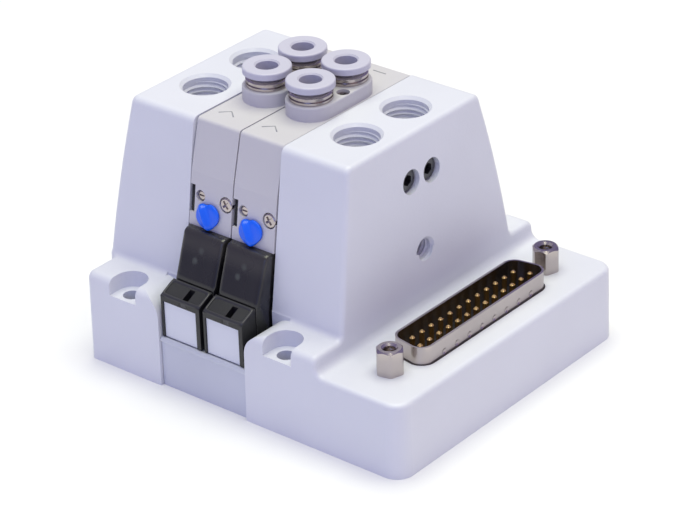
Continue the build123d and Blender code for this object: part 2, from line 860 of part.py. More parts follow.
def make_override(index):
    """Manual override: rounded lever with a slanting rib, on a stem."""
    place = front_plane(index, slice_width / 2, override_z)
    r = override_radius
    face = make_hull([
        *(Pos(-0.75, 0.35) * Circle(r - 0.2)).edges(),
        *(Pos(0.75, 0.2) * Circle(r - 0.2)).edges(),
        *(Pos(0.5, -1.3) * Circle(1.1)).edges(),
    ])
    lever = Pos(0, 0, 0.25) * extrude(face, override_height - 0.7)
    rim = [e for e in lever.edges() if e.center().Z > override_height - 0.46]
    lever = fillet(rim, 0.5)
    rib = Pos(0.1, 0, override_height - 0.8) * Rot(0, 0, -52) * extrude(
        SlotOverall(4.2, 1.5), 0.8,
    )
    ridge = [e for e in rib.edges() if e.center().Z > override_height - 0.01]
    rib = fillet(ridge, 0.4)
    stem = Pos(0, 0, (0.3 - override_stem_length) / 2) * Cylinder(
        override_stem_d / 2, 0.3 + override_stem_length
    )
    return place * (lever + rib + stem)


def make_screw(index, x, z, head_d, head_h, shank_d, shank_l, sink, slots):
    """Cross-slotted screw, square to the front face of the valve body."""
    place = front_plane(index, x, z)
    head = Pos(0, 0, -sink + head_h / 2) * Cylinder(head_d / 2, head_h)
    crown = [e for e in head.edges() if e.center().Z > -sink + head_h - 0.01]
    head = fillet(crown, head_h * 0.35)
    for turn in slots:
        head -= Pos(0, 0, -sink + head_h) * Rot(0, 0, turn) * Box(head_d * 0.62, head_d * 0.16, head_h)
    shank = Pos(0, 0, -sink - shank_l / 2) * Cylinder(shank_d / 2, shank_l)
    return place * (head + shank)


# ---------------------------------------------------------------- fittings
def make_cartridge(index, number):
    """Nickelled cartridge ring pressed into the boss."""
    x, y = fitting_places(index)[number]
    shape = rod_z(x, y, boss_top - cartridge_depth, boss_top + cartridge_rise, cartridge_d)
    groove = rod_z(x, y, boss_top + 0.55, boss_top + 0.95, cartridge_d + 1)
    shape -= groove - rod_z(x, y, boss_top, boss_top + 2, cartridge_d - 0.6)
    rim = [
        e for e in shape.edges()
        if e.center().Z > boss_top + cartridge_rise - 0.01
    ]
    shape = chamfer(rim, 0.3)
    return shape - rod_z(x, y, 0, 99, collar_sleeve_d + 2 * sliding_clearance)


def make_collar(index, number):
    """Release collar: round flange on a sleeve that slides in the cartridge."""
    x, y = fitting_places(index)[number]
    z0 = collar_top - collar_thickness
    flange = rod_z(x, y, z0, collar_top, collar_d)
    rim = [e for e in flange.edges() if e.center().Z > collar_top - 0.01]
    flange = fillet(rim, 0.35)
    shape = flange + rod_z(x, y, boss_top + collar_travel - collar_sleeve_length, z0 + 0.5, collar_sleeve_d)
    shape -= rod_z(x, y, 0, 99, tube_d + 2 * tube_clearance)
    mouth = [
        e for e in shape.edges()
        if e.center().Z > collar_top - 0.01 and e.bounding_box().size.X < tube_d + 1
    ]
    return chamfer(mouth, 0.3)


# ---------------------------------------------------------------- row hardware
def make_tie_screws():
    """Two long socket screws through the row."""
    seat = right_side_x(tie_z) - tie_head_recess
    screws = []
    for y in (-tie_y, tie_y):
        head = rod_x(seat, seat + tie_head_length, y, tie_z, tie_head_d)
        rim = [e for e in head.edges() if e.center().X > seat + tie_head_length - 0.01]
        head = chamfer(rim, 0.25)
        socket = Pos(seat + tie_head_length - 1.2, y, tie_z) * Rot(0, 90, 0) * extrude(
            RegularPolygon(tie_socket_af / 2, 6, major_radius=False), 2
        )
        shank = rod_x(left_joint - tie_thread_reach, seat, y, tie_z, tie_d)
        screws.append((head - socket + shank).solid())
    return Compound(children=screws)


def make_gasket(number):
    """Gasket between two bodies of the row, holed for galleries and tie screws."""
    x0 = left_joint + number * (slice_width + gasket_thickness)
    x1 = x0 + gasket_thickness
    outline = make_face(Polyline(
        (slice_front_seam + gasket_inset, ear_height + gasket_inset / 3),
        (tower_rear_top + gasket_inset / 3, ear_height + gasket_inset / 3),
        (tower_rear_top - gasket_inset, slice_top - gasket_inset),
        (slice_front_top + gasket_inset, slice_top - gasket_inset), close=True,
    ))
    outline = fillet(outline.vertices(), 2.0)
    shape = yz_prism(outline, x0, x1)
    for y in (gallery_front_y, gallery_rear_y):
        shape -= rod_x(x0 - 1, x1 + 1, y, gallery_z, gallery_d)
    for y in (-tie_y, tie_y):
        shape -= rod_x(x0 - 1, x1 + 1, y, tie_z, tie_d + 0.3)
    return shape


def make_boss_screw(index):
    """Screw that holds a port block to its valve body."""
    xc = slice_left(index) + slice_width / 2 + boss_screw_offset
    y = (fitting_front_y + fitting_rear_y) / 2
    top = boss_top - 0.5
    head = rod_z(xc, y, top - 1.0, top, boss_screw_head_d)
    head -= block(xc - 0.7, xc + 0.7, y - 0.18, y + 0.18, top - 0.5, top + 1)
    head -= block(xc - 0.18, xc + 0.18, y - 0.7, y + 0.7, top - 0.5, top + 1)
    return head + rod_z(xc, y, seam_z - 3.5, top - 0.9, 1.2)


def make_bus_board():
    """Circuit board along the channel, from the pilots to the foot."""
    z0 = channel_floor + board_lift
    y1 = bus_board_front + bus_board_width
    return block(
        left_joint + 0.5, tower_side + foot_wall, bus_board_front, y1, z0, z0 + board_thickness,
    )


# ---------------------------------------------------------------- 25-way connector
def make_dsub_shell():
    """Drawn metal shell, its flange under the foot's roof, with dimples on its long side."""
    flange_top = roof_under
    flange = Pos(connector_x, 0, flange_top - 0.4) * Box(shell_flange_width, shell_flange_length, 0.8)
    shape = flange + d_prism(0, flange_top - 0.8, shell_top_z)
    shape -= d_prism(-shell_wall, flange_top - 3, shell_top_z + 1)
    for sign in (-1, 1):
        shape -= rod_z(connector_x, sign * jack_spacing / 2, 0, flange_top + 1, jack_stud_d + 0.2)
    dimple_x = connector_x + shell_short / 2 + dimple_r - dimple_depth
    for number in range(dimple_count):
        y = (number - (dimple_count - 1) / 2) * dimple_pitch
        shape -= Pos(dimple_x, y, foot_height + dimple_lift) * Sphere(dimple_r)
    return shape


def make_dsub_insulator():
    """Black insulator, holed for the pins."""
    floor_z = shell_top_z - 5.2
    shape = d_prism(-shell_wall - 0.05, roof_under - 4.5, floor_z)
    for x, y in pin_places():
        shape -= rod_z(x, y, 0, 99, pin_d)
    return shape


def pin_places():
    """Thirteen pins in the outer row, twelve in the inner row."""
    outer = [(connector_x + pin_row_gap / 2, (n - 6) * pin_pitch) for n in range(13)]
    inner = [(connector_x - pin_row_gap / 2, (n - 5.5) * pin_pitch) for n in range(12)]
    return outer + inner


def make_dsub_pins():
    """Twenty-five pins, from their solder tails to their tips."""
    pins = []
    for x, y in pin_places():
        pin = rod_z(x, y, roof_under - 6.4, pin_tip_z, pin_d)
        tip = [e for e in pin.edges() if e.center().Z > pin_tip_z - 0.01]
        pins.append(chamfer(tip, 0.28).solid())
    return Compound(children=pins)


def make_dsub_board():
    """Circuit board under the connector."""
    z1 = roof_under - 4.5
    shape = block(
        tower_side + foot_wall - 0.6, foot_end - foot_wall - 0.4,
        -half_depth + 9.5, half_depth - 9.5, z1 - board_thickness, z1,
    )
    for x, y in pin_places():
        shape -= rod_z(x, y, 0, 99, pin_d)
    return shape


def make_jackscrews():
    """Two hexagonal jackscrews with female threads."""
    screws = []
    for sign in (-1, 1):
        y = sign * jack_spacing / 2
        base = Pos(connector_x, y, foot_height) * extrude(
            Rot(0, 0, 12) * RegularPolygon(jack_af / 2, 6, major_radius=False), jack_height
        )
        round_off = Pos(connector_x, y, foot_height + jack_height / 2) * Cylinder(
            jack_af / 2 * 1.1, jack_height
        )
        rims = [e for e in round_off.edges() if e.center().Z > foot_height + jack_height - 0.01]
        nut = base & chamfer(rims, 0.45)
        stud = rod_z(connector_x, y, roof_under - 3.0, foot_height, jack_stud_d)
        nut = nut + stud
        nut -= rod_z(connector_x, y, foot_height + 0.3, foot_height + jack_height + 1, jack_thread_d)
        nut -= Pos(connector_x, y, foot_height + jack_height - 0.2) * Cone(
            jack_thread_d / 2, jack_thread_d / 2 + 0.4, 0.4
        )
        screws.append(nut.solid())
    return Compound(children=screws)


def make_bottom_plate():
    """Plate that closes the foot from below."""
    seat = cover_seat(0.15)
    plate = seat & block(tower_side - 5, foot_end, -half_depth, half_depth, 0, cover_plate_thickness)
    for x, y in cover_screw_places():
        plate -= rod_z(x, y, -1, 9, 2.2)
        plate -= Pos(x, y, 0.5) * Cone(2.0, 1.1, 1.0)
    return plate


def make_bottom_screws():
    """Four countersunk screws for the bottom plate."""
    screws = []
    for x, y in cover_screw_places():
        screw = Pos(x, y, 0.5) * Cone(1.95, 1.0, 1.0) + rod_z(x, y, 0.9, cover_screw_reach, cover_screw_d)
        screw -= block(x - 1.1, x + 1.1, y - 0.2, y + 0.2, -1, 0.45)
        screws.append(screw.solid())
    return Compound(children=screws)


# ---------------------------------------------------------------- build
def main():
    """Write every node."""
    os.makedirs("parts", exist_ok=True)
    save("left_end_plate", make_left_end_plate())
    save("right_end_plate", make_right_end_plate())
    save("base_channel", make_base_channel())
    save("tie_screws", make_tie_screws())
    for number in range(slice_count + 1):
        save(f"gasket_{number + 1}", make_gasket(number))
    for index in range(slice_count):
        tag = index + 1
        save(f"port_block_{tag}", make_port_block(index))
        save(f"valve_body_{tag}", make_valve_body(index))
        save(f"boss_screw_{tag}", make_boss_screw(index))
        save(f"spool_{tag}", make_spool(index))
        save(f"spool_seals_{tag}", make_spool_seals(index))
        save(f"end_plug_{tag}", make_end_plug(index))
        save(f"pilot_cover_{tag}", make_pilot_cover(index))
        save(f"coil_{tag}", make_coil(index))
        save(f"plunger_{tag}", make_plunger(index))
        save(f"pilot_core_{tag}", make_core(index))
        save(f"plunger_spring_{tag}", make_plunger_spring(index))
        save(f"connector_housing_{tag}", make_housing(index))
        save(f"label_plate_{tag}", make_label(index))
        save(f"override_{tag}", make_override(index))
        save(f"small_screw_{tag}", make_screw(
            index, small_screw_x, small_screw_z, small_screw_d, 0.9, 1.0, 3.2, 1.3, (0,)))
        save(f"pan_screw_{tag}", make_screw(
            index, pan_screw_x, pan_screw_z, pan_screw_d, 1.0, 1.5, 4.0, 1.0, (40, 130)))
        for number, end in enumerate(("front", "rear")):
            save(f"cartridge_{end}_{tag}", make_cartridge(index, number))
            save(f"release_collar_{end}_{tag}", make_collar(index, number))
    save("tube_seals", make_fitting_rings(0, seal_ring_height, tube_d))
    save("grip_rings", make_fitting_rings(seal_ring_height, grip_ring_height, tube_d + 0.1))
    save("bus_board", make_bus_board())
    save("dsub_shell", make_dsub_shell())
    save("dsub_insulator", make_dsub_insulator())
    save("dsub_pins", make_dsub_pins())
    save("dsub_board", make_dsub_board())
    save("jackscrews", make_jackscrews())
    save("bottom_plate", make_bottom_plate())
    save("bottom_screws", make_bottom_screws())


if __name__ == "__main__":
    main()
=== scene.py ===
"""Pneumatic valve island: finishes, threads, marks, camera and soft studio."""
import json
import math

import bpy
import numpy as np
from mathutils import Matrix, Vector

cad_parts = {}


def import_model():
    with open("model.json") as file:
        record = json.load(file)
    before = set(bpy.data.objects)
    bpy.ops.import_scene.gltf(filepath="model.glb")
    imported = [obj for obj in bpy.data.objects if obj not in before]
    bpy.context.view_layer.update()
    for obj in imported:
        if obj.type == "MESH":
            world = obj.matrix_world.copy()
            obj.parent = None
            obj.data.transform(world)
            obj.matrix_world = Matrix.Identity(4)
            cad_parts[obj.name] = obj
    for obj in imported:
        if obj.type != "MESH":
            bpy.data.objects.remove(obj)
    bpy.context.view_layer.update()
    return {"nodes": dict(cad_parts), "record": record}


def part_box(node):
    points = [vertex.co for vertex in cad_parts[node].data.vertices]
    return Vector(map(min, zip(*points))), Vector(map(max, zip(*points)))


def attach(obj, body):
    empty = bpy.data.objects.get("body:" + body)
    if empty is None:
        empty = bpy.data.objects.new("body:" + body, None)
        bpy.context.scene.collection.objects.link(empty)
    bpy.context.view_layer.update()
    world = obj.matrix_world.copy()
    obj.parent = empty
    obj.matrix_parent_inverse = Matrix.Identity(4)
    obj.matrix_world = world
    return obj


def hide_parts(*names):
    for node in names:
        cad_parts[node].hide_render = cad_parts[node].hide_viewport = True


bl_info = {
    "name": "Valve island finishes",
    "version": (1, 0, 0),
    "blender": (4, 5, 0),
    "location": "View3D > Sidebar > Island",
    "description": "Finishes, threads and marks for a pneumatic valve island, with its stage",
    "category": "Object",
}

BODY = "island"
SLICES = (1, 2)
SLICE_LEFT = -0.01815
SLICE_PITCH = 0.01035

# superellipse exponents: the higher, the squarer the outline
COVER_SQUARENESS = 14
LEDGE_SQUARENESS = 10
NOTCH_SQUARENESS = 8

# smoked covers: where the light band begins and ends, and the two lamps behind
BROW_FROM_Z = 0.0252
BROW_TO_Z = 0.0285
LAMPS = (
    ("lamp_front", (0.0053, 0, 0.0272), 0.5),
    ("lamp_rear", (0.0042, 0, 0.0252), 0.7),
)
LAMP_EDGE = 0.0009
LAMP_CORE = 0.0002

# override knob: its rib, and how its height is shared out
KNOB_TALL = 0.94
RIB_SLANT = math.radians(-66)
RIB_OFFSET = 0.06
RIB_SPREAD = 0.11
KNOB_EDGE, KNOB_DOME, KNOB_RIB = 0.18, 0.22, 0.60
KNOB_STEM_END = -0.0035

# thread ridges: how far they reach into the wall, half their foot and their blunt end
THREAD_INTO_WALL = 0.00002
THREAD_HALF_FOOT = 0.45
THREAD_BLUNT = 0.02

frame = None


# ---------------------------------------------------------------- settings
def colour(name, default):
    """A colour property, linear light."""
    return bpy.props.FloatVectorProperty(
        name=name, description=f"{name}, linear light", subtype="COLOR",
        size=3, min=0.0, max=1.0, default=default,
    )


def length(name, description, default):
    """A length property in metres."""
    return bpy.props.FloatProperty(
        name=name, description=description, default=default, subtype="DISTANCE", unit="LENGTH",
    )


def amount(name, description, default):
    """A plain number property."""
    return bpy.props.FloatProperty(name=name, description=description, default=default)


class ISLAND_PG_finish(bpy.types.PropertyGroup):
    """Colours of the finishes."""
    casting: colour("Casting paint", (0.72, 0.73, 0.79))
    channel: colour("Channel", (0.60, 0.62, 0.70))
    slice: colour("Valve slices", (0.60, 0.585, 0.61))
    smoked: colour("Smoked covers", (0.008, 0.008, 0.009))
    brow: colour("Cover brow", (0.035, 0.033, 0.030))
    glow: colour("Lamps behind the cover", (0.075, 0.085, 0.075))
    # painted highlight: the rims' colour is a lighter copy of the housings' black plastic, standing in
    # for the highlight on the moulding's edge
    rim: colour("Ledge rims", (0.035, 0.035, 0.038))
    black_plastic: colour("Connector housings", (0.012, 0.012, 0.014))
    label: colour("Label plates", (0.74, 0.76, 0.82))
    blue: colour("Manual override", (0.002, 0.13, 0.92))
    collar: colour("Release collars", (0.57, 0.56, 0.65))
    nickel: colour("Nickel plate", (0.50, 0.45, 0.43))
    gold: colour("Gold plate", (0.80, 0.55, 0.22))
    black_steel: colour("Tie screw steel", (0.26, 0.25, 0.25))
    board: colour("Circuit board", (0.02, 0.14, 0.06))
    coil: colour("Coil wire", (0.30, 0.10, 0.03))
    seal: colour("Seals", (0.02, 0.02, 0.02))
    mark: colour("Moulded marks", (0.30, 0.31, 0.34))


class ISLAND_PG_thread(bpy.types.PropertyGroup):
    """Thread ridges inside the round holes."""
    pitch: length("Pitch", "Pitch of the port thread", 0.000907)
    depth: length("Ridge", "Height of a ridge from the bore's wall", 0.00032)
    start: length("Start", "From the top of the end plate to the first ridge", 0.0009)
    reach: length("Reach", "Length of the threaded part", 0.0060)
    side_pitch: length("Side pitch", "Pitch of the side hole's thread", 0.0008)
    side_start: length("Side start", "From the straight wall's end to the first ridge", 0.0002)
    side_reach: length("Side reach", "Length of the side hole's thread", 0.0052)
    port_radius: length("Port radius", "Radius of a port's bore", 0.004285)
    fine_pitch: length("Fine pitch", "Pitch of the jackscrew thread", 0.00064)
    fine_radius: length("Fine radius", "Radius of a jackscrew's bore", 0.00115)
    fine_reach: length("Fine reach", "Length of a jackscrew's thread", 0.0030)


class ISLAND_PG_pilot(bpy.types.PropertyGroup):
    """Front of the pilot valves: smoked cover, connector ledge and override knob."""
    cover_top: length("Cover top", "Height of the cover's straight top edge", 0.0302)
    cover_step: length("Cover step", "Height where the cover's front starts to lean", 0.0210)
    cover_front_top: length("Front at top", "Front of the cover at its top", -0.0252)
    cover_front: length("Front at step", "Front of the cover below its step", -0.0284)
    cover_back: length("Back", "Back of the cover", -0.0140)
    cover_skirt: length("Skirt", "Height of the cover below its step", 0.0085)
    cover_round: length("Brow", "Rounding of the cover's top edge", 0.0009)
    ledge_back: length("Ledge back", "Back of the ledge", -0.0286)
    ledge_back_top: length("Ledge back height", "Height of the ledge at its back", 0.0209)
    ledge_front: length("Ledge front", "Front of the ledge", -0.0323)
    ledge_front_top: length("Ledge front height", "Height of the ledge at its front", 0.0191)
    ledge_rim: length("Rim", "Width of the rim round the ledge", 0.00055)
    ledge_rise: length("Rim height", "Height of the rim above the ledge", 0.00022)
    ledge_sill: length("Sill", "Depth of the rim below the ledge", 0.0010)
    notch_width: length("Notch width", "Width of the notch beside the small screw", 0.00100)
    notch_height: length("Notch height", "Height of the notch", 0.0053)
    notch_depth: length("Notch depth", "Depth of the notch", 0.0013)
    notch_rise: length("Notch place", "Middle of the notch above the override's axis", 0.0016)
    notch_gap: length("Notch gap", "From the slice's side to the notch", 0.00005)
    knob_width: length("Knob width", "Width of the override knob", 0.0059)
    knob_x: length("Knob offset", "Middle of the heart beside the axis", -0.0003)
    knob_y: length("Knob drop", "Middle of the heart above the axis", -0.00070)
    knob_lift: length("Knob lift", "Gap between the knob and the body", 0.00025)
    knob_rise: length("Knob height", "Height of the knob's rib", 0.0019)
    knob_stem: length("Knob stem", "Radius of the knob's stem", 0.0015)


class ISLAND_PG_mark(bpy.types.PropertyGroup):
    """Plain marks moulded on the slices."""
    width: length("Width", "Width of a stroke", 0.00025)
    rise: length("Rise", "Height of a stroke above its level, and its depth below", 0.00003)
    below_boss: length("Level", "From the top of the port block to the marks", 0.00285)
    chevron_x: length("Chevron offset", "From the port block's left to the tip", 0.0036)
    chevron_y: length("Chevron place", "Tip of the chevron", -0.0142)
    chevron_half: length("Chevron half width", "From the tip to one end, across", 0.0018)
    chevron_drop: length("Chevron depth", "From the tip to one end, forward", 0.0016)
    line_x: length("Line offset", "From the port block's left to the line", 0.003)
    line_y: length("Line place", "Place of the rear line", 0.0149)
    line_length: length("Line length", "Length of the rear line", 0.003)


class ISLAND_PG_stage(bpy.types.PropertyGroup):
    """Camera, lights and floor."""
    place: bpy.props.FloatVectorProperty(
        name="Camera", description="Place of the camera", subtype="TRANSLATION", unit="LENGTH",
        size=3, default=(0.31962, -0.38147, 0.28746),
    )
    azimuth: amount("Azimuth", "Heading of the camera in degrees, 0 looks along +Y", 39.91)
    elevation: amount("Elevation", "Height of the camera above the horizon in degrees", 28.48)
    roll: amount("Roll", "Roll of the camera in degrees", -1.77)
    lens: amount("Lens", "Focal length in millimetres on a 36 mm sensor", 154.96)
    sky: amount("Sky", "Strength of the surroundings", 0.4325)
    sky_tint: colour("Sky tint", (0.584, 0.526, 1.0))
    floor: colour("Floor", (0.90, 0.90, 0.90))


# ---------------------------------------------------------------- shader groups
def node(tree, kind, place, **values):
    """A shader node with its place, its own properties and its sockets' values."""
    made = tree.nodes.new(kind)
    made.location = place
    for key, value in values.items():
        if key.startswith("in_"):
            made.inputs[key[3:].replace("_", " ")].default_value = value
        else:
            setattr(made, key, value)
    return made


def grain_group():
    """Shared grain: scale, strength and colours in; colour, roughness and height out."""
    name = "surface_grain"
    if name in bpy.data.node_groups:
        return bpy.data.node_groups[name]
    tree = bpy.data.node_groups.new(name, "ShaderNodeTree")
    face = tree.interface
    for title, kind, value in (
        ("Colour", "NodeSocketColor", (0.5, 0.5, 0.5, 1)), ("Scale", "NodeSocketFloat", 900.0),
        ("Roughness", "NodeSocketFloat", 0.5), ("Mottle", "NodeSocketFloat", 0.04),
    ):
        face.new_socket(title, in_out="INPUT", socket_type=kind).default_value = value
    for title, kind in (
        ("Colour", "NodeSocketColor"), ("Roughness", "NodeSocketFloat"), ("Height", "NodeSocketFloat"),
    ):
        face.new_socket(title, in_out="OUTPUT", socket_type=kind)
    into = node(tree, "NodeGroupInput", (-900, 0))
    out = node(tree, "NodeGroupOutput", (700, 0))
    spot = node(tree, "ShaderNodeTexCoord", (-900, 300))
    fine = node(tree, "ShaderNodeTexNoise", (-600, 200), in_Detail=4.0, in_Roughness=0.6)
    broad = node(tree, "ShaderNodeTexNoise", (-600, -200), in_Scale=55.0, in_Detail=3.0)
    tree.links.new(spot.outputs["Object"], fine.inputs["Vector"])
    tree.links.new(spot.outputs["Object"], broad.inputs["Vector"])
    tree.links.new(into.outputs["Scale"], fine.inputs["Scale"])
    swing = node(tree, "ShaderNodeMapRange", (-350, -200))
    swing.inputs["From Min"].default_value = 0.3
    swing.inputs["From Max"].default_value = 0.7
    swing.inputs["To Min"].default_value = -1.0
    tree.links.new(broad.outputs["Fac"], swing.inputs["Value"])
    share = node(tree, "ShaderNodeMath", (-150, -200), operation="MULTIPLY")
    tree.links.new(swing.outputs["Result"], share.inputs[0])
    tree.links.new(into.outputs["Mottle"], share.inputs[1])
    gain = node(tree, "ShaderNodeMath", (50, -200), operation="ADD")
    gain.inputs[1].default_value = 1.0
    tree.links.new(share.outputs[0], gain.inputs[0])
    tint = node(tree, "ShaderNodeVectorMath", (300, 100), operation="SCALE")
    tree.links.new(into.outputs["Colour"], tint.inputs[0])
    tree.links.new(gain.outputs[0], tint.inputs["Scale"])
    rough = node(tree, "ShaderNodeMath", (300, -100), operation="MULTIPLY")
    tree.links.new(into.outputs["Roughness"], rough.inputs[0])
    tree.links.new(gain.outputs[0], rough.inputs[1])
    tree.links.new(tint.outputs["Vector"], out.inputs["Colour"])
    tree.links.new(rough.outputs[0], out.inputs["Roughness"])
    tree.links.new(fine.outputs["Fac"], out.inputs["Height"])
    return tree


def finish(name, rgb, roughness, grain=900.0, mottle=0.04, bump=0.02, metallic=0.0, coat=0.0):
    """A finish built on the shared grain."""
    made = bpy.data.materials.get(name)
    if made:
        return made
    made = bpy.data.materials.new(name)
    made.use_nodes = True
    tree = made.node_tree
    shader = tree.nodes["Principled BSDF"]
    shader.inputs["Metallic"].default_value = metallic
    shader.inputs["Coat Weight"].default_value = coat
    group = node(tree, "ShaderNodeGroup", (-500, 100))
    group.node_tree = grain_group()
    group.inputs["Colour"].default_value = (*rgb, 1)
    group.inputs["Scale"].default_value = grain
    group.inputs["Roughness"].default_value = roughness
    group.inputs["Mottle"].default_value = mottle
    relief = node(tree, "ShaderNodeBump", (-250, -200), in_Strength=bump, in_Distance=0.0002)
    tree.links.new(group.outputs["Colour"], shader.inputs["Base Color"])
    tree.links.new(group.outputs["Roughness"], shader.inputs["Roughness"])
    tree.links.new(group.outputs["Height"], relief.inputs["Height"])
    tree.links.new(relief.outputs["Normal"], shader.inputs["Normal"])
    return made


def smoked_finish(name, rgb, brow, glow):
    """Smoked plastic: the shared grain, a lighter band under the top and two faint lamps."""
    made = finish(name, rgb, 0.26, 500.0, 0.25, 0.02, coat=0.25)
    tree = made.node_tree
    shader = tree.nodes["Principled BSDF"]
    if "lamp_front" in tree.nodes:
        return made
    spot = node(tree, "ShaderNodeTexCoord", (-1700, -500))
    parts = node(tree, "ShaderNodeSeparateXYZ", (-1500, -500))
    tree.links.new(spot.outputs["Object"], parts.inputs[0])
    band = node(tree, "ShaderNodeMapRange", (-1250, -300), interpolation_type="SMOOTHSTEP")
    band.inputs["From Min"].default_value = BROW_FROM_Z
    band.inputs["From Max"].default_value = BROW_TO_Z
    tree.links.new(parts.outputs["Z"], band.inputs["Value"])
    lift = node(tree, "ShaderNodeMix", (0, 300), data_type="RGBA")
    source = shader.inputs["Base Color"].links[0].from_socket
    tree.links.new(band.outputs["Result"], lift.inputs["Factor"])
    tree.links.new(source, lift.inputs["A"])
    lift.inputs["B"].default_value = (*brow, 1)
    last = lift.outputs["Result"]
    shift = node(tree, "ShaderNodeMath", (-1250, -600), operation="ADD")
    shift.inputs[1].default_value = -SLICE_LEFT
    tree.links.new(parts.outputs["X"], shift.inputs[0])
    across = node(tree, "ShaderNodeMath", (-1050, -600), operation="FLOORED_MODULO")
    across.inputs[1].default_value = SLICE_PITCH
    tree.links.new(shift.outputs[0], across.inputs[0])
    flat = node(tree, "ShaderNodeCombineXYZ", (-850, -600))
    tree.links.new(across.outputs[0], flat.inputs["X"])
    tree.links.new(parts.outputs["Z"], flat.inputs["Z"])
    for row, (title, place, share) in enumerate(LAMPS):
        away = node(tree, "ShaderNodeVectorMath", (-600, -600 - 300 * row), operation="DISTANCE")
        away.name = title
        away.inputs[1].default_value = place
        tree.links.new(flat.outputs[0], away.inputs[0])
        fade = node(
            tree, "ShaderNodeMapRange", (-350, -600 - 300 * row), interpolation_type="SMOOTHSTEP",
        )
        fade.inputs["From Min"].default_value = LAMP_EDGE
        fade.inputs["From Max"].default_value = LAMP_CORE
        fade.inputs["To Max"].default_value = share
        tree.links.new(away.outputs["Value"], fade.inputs["Value"])
        mix = node(tree, "ShaderNodeMix", (250 + 250 * row, 300), data_type="RGBA")
        tree.links.new(fade.outputs["Result"], mix.inputs["Factor"])
        tree.links.new(last, mix.inputs["A"])
        mix.inputs["B"].default_value = (*glow, 1)
        last = mix.outputs["Result"]
    tree.links.new(last, shader.inputs["Base Color"])
    return made


def all_finishes(rgb):
    """Every finish by its slot, from the colours of the property group."""
    return {
        "casting": finish("casting_paint", rgb.casting, 0.42, 1500.0, 0.02, 0.10, coat=0.1),
        "channel": finish("channel_satin", rgb.channel, 0.38, 1300.0, 0.03, 0.06),
        "slice": finish("slice_plastic", rgb.slice, 0.55, 1900.0, 0.02, 0.08),
        "smoked": smoked_finish("smoked_cover", rgb.smoked, rgb.brow, rgb.glow),
        "black_plastic": finish("housing_plastic", rgb.black_plastic, 0.42, 1700.0, 0.15, 0.10),
        "label": finish("label_plastic", rgb.label, 0.45, 1200.0, 0.02, 0.03),
        "blue": finish("override_blue", rgb.blue, 0.36, 900.0, 0.06, 0.04, coat=0.1),
        "collar": finish("collar_plastic", rgb.collar, 0.38, 1500.0, 0.03, 0.05),
        "nickel": finish("nickel_plate", rgb.nickel, 0.24, 1100.0, 0.10, 0.05, metallic=1.0),
        "gold": finish("gold_plate", rgb.gold, 0.26, 1100.0, 0.08, 0.04, metallic=1.0),
        "black_steel": finish("black_steel", rgb.black_steel, 0.40, 1100.0, 0.10, 0.05, metallic=0.6),
        "board": finish("board_resist", rgb.board, 0.35, 600.0, 0.15, 0.03),
        "coil": finish("coil_wire", rgb.coil, 0.40, 2500.0, 0.20, 0.20),
        "seal": finish("seal_rubber", rgb.seal, 0.60, 1500.0, 0.10, 0.10),
        # painted highlight: the rim finish is lighter than the housings' black plastic, standing in
        # for the highlight on the moulding's edge
        "rim": finish("ledge_rim", rgb.rim, 0.34, 1700.0, 0.10, 0.08),
        "mark": finish("moulded_mark", rgb.mark, 0.55, 1500.0, 0.05, 0.05),
    }


# ---------------------------------------------------------------- shapes
def grid_mesh(points, wrap_u, wrap_v):
    """Mesh from a grid of points u by v, closed along u, along v or both."""
    count_u, count_v = points.shape[:2]
    u = np.arange(count_u if wrap_u else count_u - 1)
    v = np.arange(count_v if wrap_v else count_v - 1)
    u, v = np.meshgrid(u, v, indexing="ij")
    u1, v1 = (u + 1) % count_u, (v + 1) % count_v
    quads = np.stack([u * count_v + v, u1 * count_v + v, u1 * count_v + v1, u * count_v + v1], -1)
    return points.reshape(-1, 3), quads.reshape(-1, 4)


def add_piece(name, verts, faces, material, body=BODY):
    """An object at the origin from points and faces, faces outward, riding on a body."""
    mesh = bpy.data.meshes.new(name)
    mesh.from_pydata(np.asarray(verts).tolist(), [], [list(f) for f in faces])
    mesh.validate()
    outward(mesh)
    mesh.shade_smooth()
    made = bpy.data.objects.new(name, mesh)
    bpy.context.scene.collection.objects.link(made)
    made.data.materials.append(material)
    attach(made, body)
    return made


def outward(mesh):
    """Turn a closed mesh's faces outward, judged by the volume that they enclose."""
    mesh.calc_loop_triangles()
    corners = np.array([v.co[:] for v in mesh.vertices])
    tris = np.array([t.vertices[:] for t in mesh.loop_triangles])
    a, b, c = corners[tris[:, 0]], corners[tris[:, 1]], corners[tris[:, 2]]
    if np.einsum("ij,ij->", a, np.cross(b, c)) < 0:
        mesh.flip_normals()


def capped(rings):
    """Closed mesh from a stack of rings, each wrapped round, with a flat cap at each end."""
    verts, quads = grid_mesh(rings, False, True)
    count = rings.shape[1]
    last = len(verts) - count
    caps = [list(range(count)), list(range(last, last + count))[::-1]]
    return verts, quads.tolist() + caps


def rounded(angles, squareness):
    """Superellipse corners: sign(w) |w|^(2 / n) for w = cos v and for w = sin v."""
    return [np.sign(w) * np.abs(w) ** (2 / squareness) for w in (np.cos(angles), np.sin(angles))]


def face_axes(normal):
    """Unit normal of a face, X along the row, and U = N x X up the face."""
    normal = np.array(normal, float)
    normal /= np.linalg.norm(normal)
    side = np.array([1.0, 0.0, 0.0])
    return normal, side, np.cross(normal, side)


